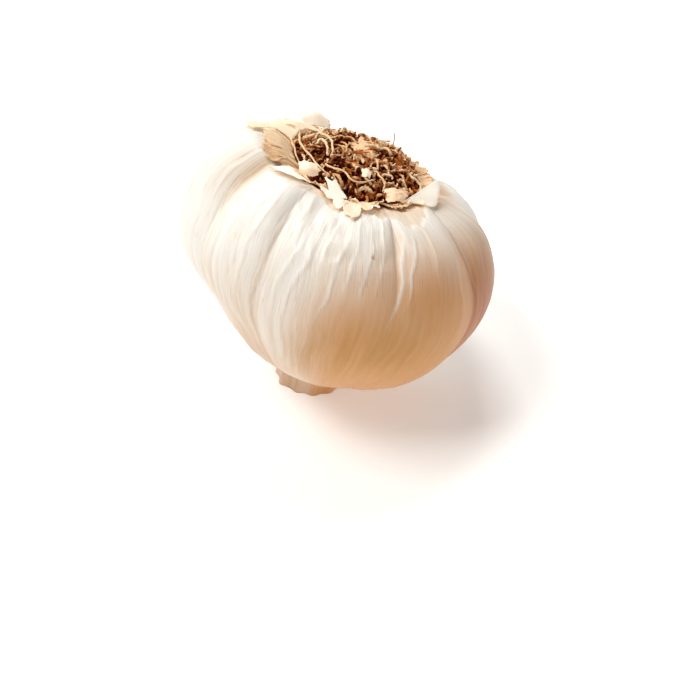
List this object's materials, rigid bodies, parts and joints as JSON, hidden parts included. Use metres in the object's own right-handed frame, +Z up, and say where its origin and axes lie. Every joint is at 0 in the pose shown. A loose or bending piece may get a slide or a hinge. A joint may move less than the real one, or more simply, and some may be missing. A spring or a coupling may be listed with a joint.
{
  "type": "garlic bulb",
  "caption": "Whole garlic bulb in papery white skin, lobed by its cloves, resting roots up on its cut neck, for cooking or display.",
  "frame": {"origin": "on the surface the bulb stands on, under the middle of its overall box", "axes": "+Z up; the bulb's own axis leans 18 degrees from +Z, towards 40 degrees from +X; -Y is the side the picture shows"},
  "size_m": [0.0598, 0.0606, 0.0561],
  "materials": {
    "papery_skin": "satin, finely veined",
    "dry_skin_bases": "matt, dry and torn",
    "dried_roots": "matt, fibrous"
  },
  "bodies": {
    "root": {"bulb": "papery_skin", "skin_collar": "dry_skin_bases", "root_tuft": "dried_roots"}
  },
  "joints": []
}
